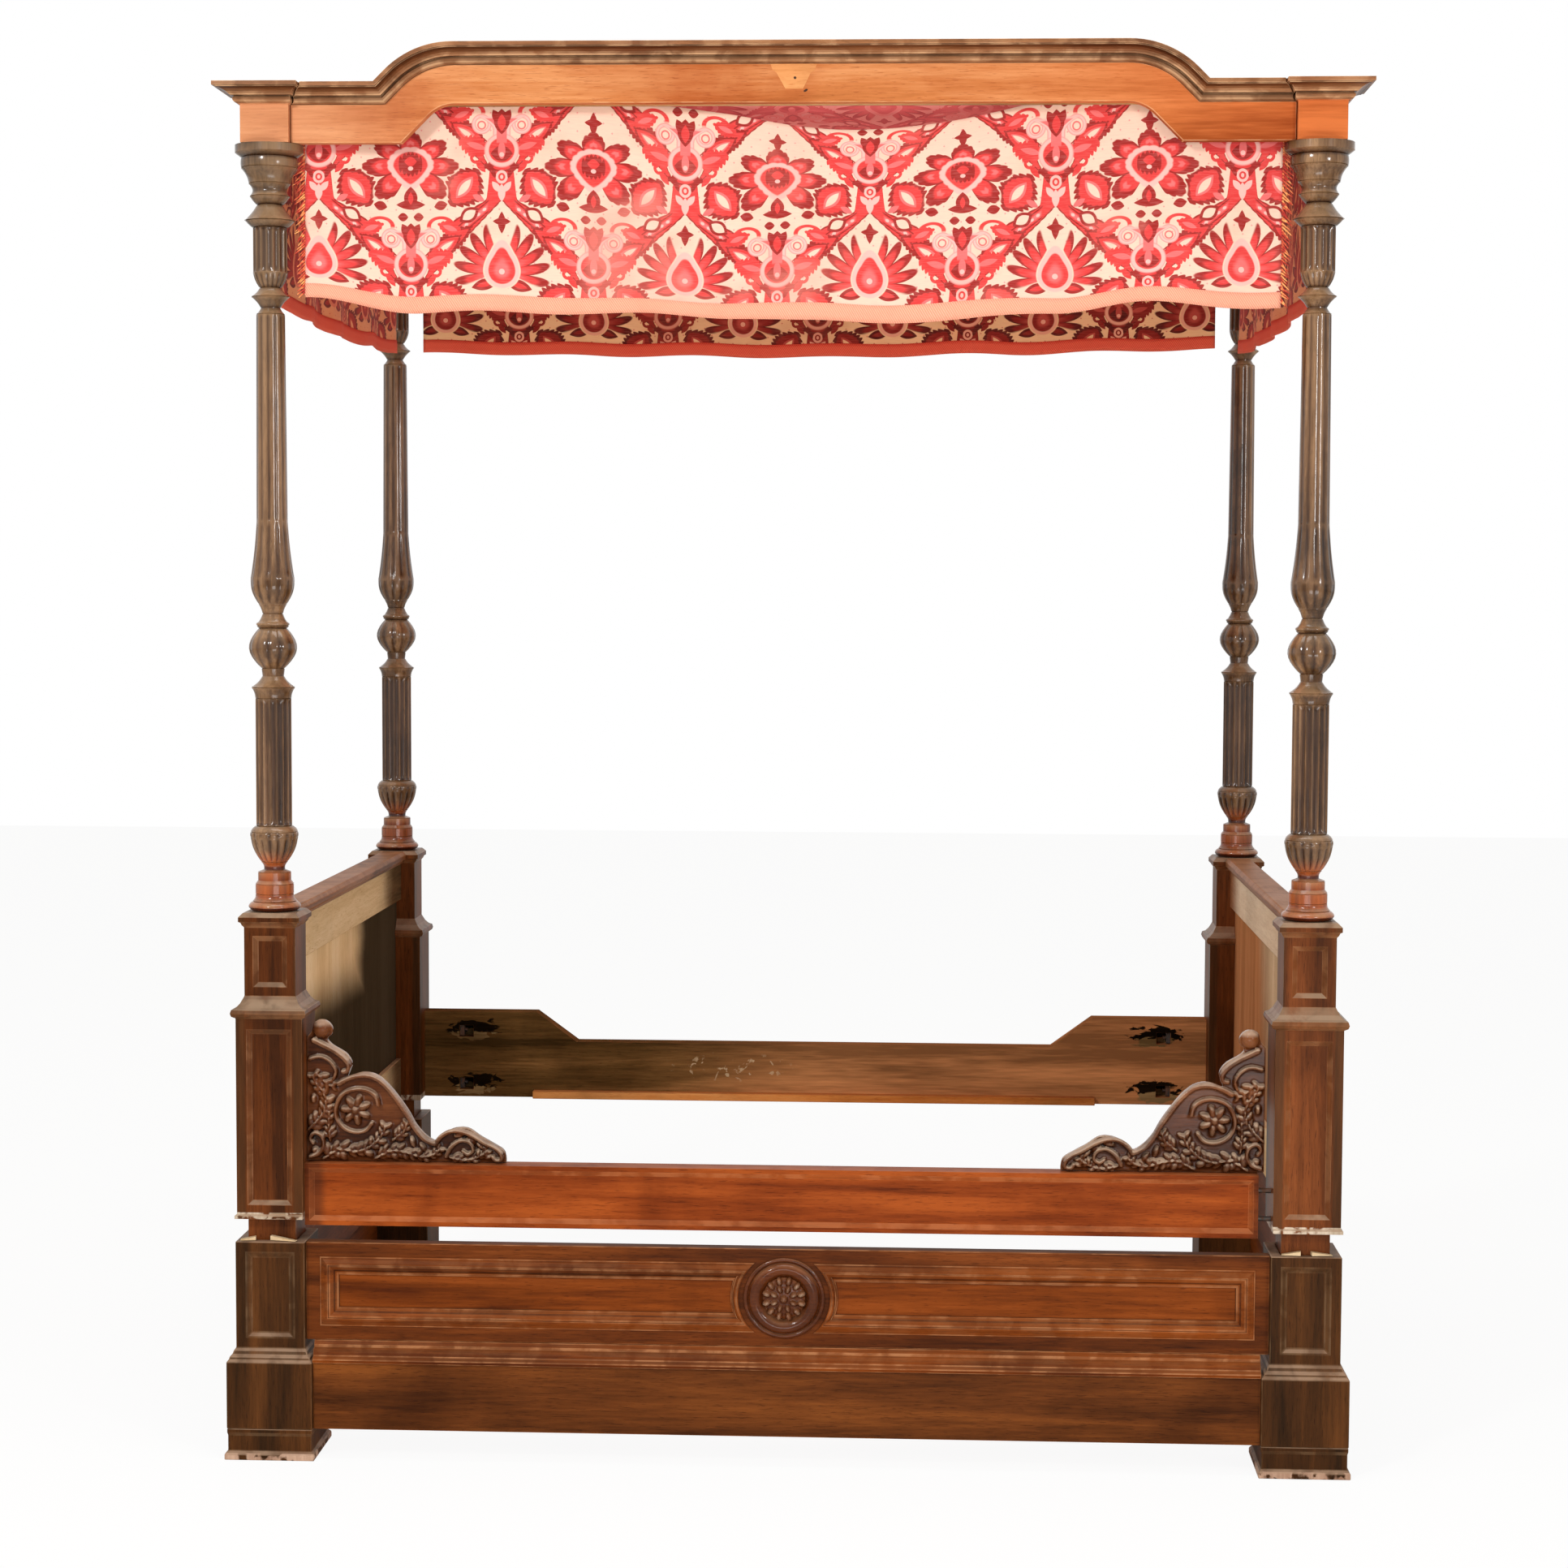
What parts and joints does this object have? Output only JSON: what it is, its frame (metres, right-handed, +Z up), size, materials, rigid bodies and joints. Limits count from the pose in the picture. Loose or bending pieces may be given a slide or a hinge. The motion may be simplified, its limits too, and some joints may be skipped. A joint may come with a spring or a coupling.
{
  "type": "four-poster bed",
  "caption": "Four-poster bed with a panelled plinth, square-based turned posts, scrolled rail brackets, panelled ends and an arched tester hung with patterned valances.",
  "frame": {"origin": "on the floor, at the middle of the bed's plan", "axes": "+Z up, the long front with the carved brackets faces -Y, +X along the bed to the right as seen from the front"},
  "size_m": [2.16, 1.52, 2.6963],
  "materials": {
    "plinth_block_wood": "waxed",
    "apron_wood": "waxed",
    "apron_panel_wood": "waxed",
    "carved_wood": "polished",
    "post_block_wood": "waxed",
    "turned_wood": "polished",
    "front_rail_wood": "waxed",
    "rear_rail_wood": "waxed",
    "bearer_wood": "raw",
    "end_panel_wood": "waxed",
    "end_rail_wood": "waxed",
    "iron": "dull",
    "valance_cloth": "woven",
    "ceiling_cloth": "woven",
    "lath_wood": "raw",
    "tester_wood": "faded"
  },
  "bodies": {
    "plinth": {"front_left_foot": "plinth_block_wood", "front_right_foot": "plinth_block_wood", "rear_left_foot": "plinth_block_wood", "rear_right_foot": "plinth_block_wood", "front_left_plinth_block": "plinth_block_wood", "front_right_plinth_block": "plinth_block_wood", "rear_left_plinth_block": "plinth_block_wood", "rear_right_plinth_block": "plinth_block_wood", "front_plinth_board": "apron_wood", "front_apron_moulding": "apron_panel_wood", "front_apron_frame": "apron_wood", "front_apron_panels": "apron_panel_wood", "rosette_ring": "carved_wood", "rosette_boss": "carved_wood", "left_end_apron": "apron_wood", "right_end_apron": "apron_wood", "end_apron_mouldings": "apron_panel_wood"},
    "carcase": {"front_left_post_block": "post_block_wood", "front_right_post_block": "post_block_wood", "rear_left_post_block": "post_block_wood", "rear_right_post_block": "post_block_wood", "front_left_turned_post": "turned_wood", "front_right_turned_post": "turned_wood", "rear_left_turned_post": "turned_wood", "rear_right_turned_post": "turned_wood", "front_rail": "front_rail_wood", "rear_rail": "rear_rail_wood", "slat_bearers": "bearer_wood", "left_bracket": "carved_wood", "right_bracket": "carved_wood", "left_bottom_rail": "end_rail_wood", "right_bottom_rail": "end_rail_wood", "left_end_panel": "end_panel_wood", "right_end_panel": "end_panel_wood", "left_top_rail": "end_rail_wood", "right_top_rail": "end_rail_wood", "left_capping": "end_rail_wood", "right_capping": "end_rail_wood", "bed_bolts": "iron", "bed_bolt_nuts": "iron", "tester_pins": "iron"},
    "tester": {"front_left_tester_block": "tester_wood", "front_right_tester_block": "tester_wood", "rear_left_tester_block": "tester_wood", "rear_right_tester_block": "tester_wood", "front_frieze": "tester_wood", "rear_frieze": "tester_wood", "left_frieze": "tester_wood", "right_frieze": "tester_wood", "front_cornice": "tester_wood", "rear_cornice": "tester_wood", "left_cornice": "tester_wood", "right_cornice": "tester_wood", "tester_laths": "lath_wood", "front_valance": "valance_cloth", "rear_valance": "valance_cloth", "left_valance": "valance_cloth", "right_valance": "valance_cloth", "ceiling_cloth": "ceiling_cloth"}
  },
  "joints": [
    {"name": "carcase_lift", "type": "slide", "parent": "plinth", "child": "carcase", "axis": [0, 0, 1], "range_m": [0, 0.12]},
    {"name": "tester_lift", "type": "slide", "parent": "carcase", "child": "tester", "axis": [0, 0, 1], "range_m": [0, 0.1]}
  ]
}
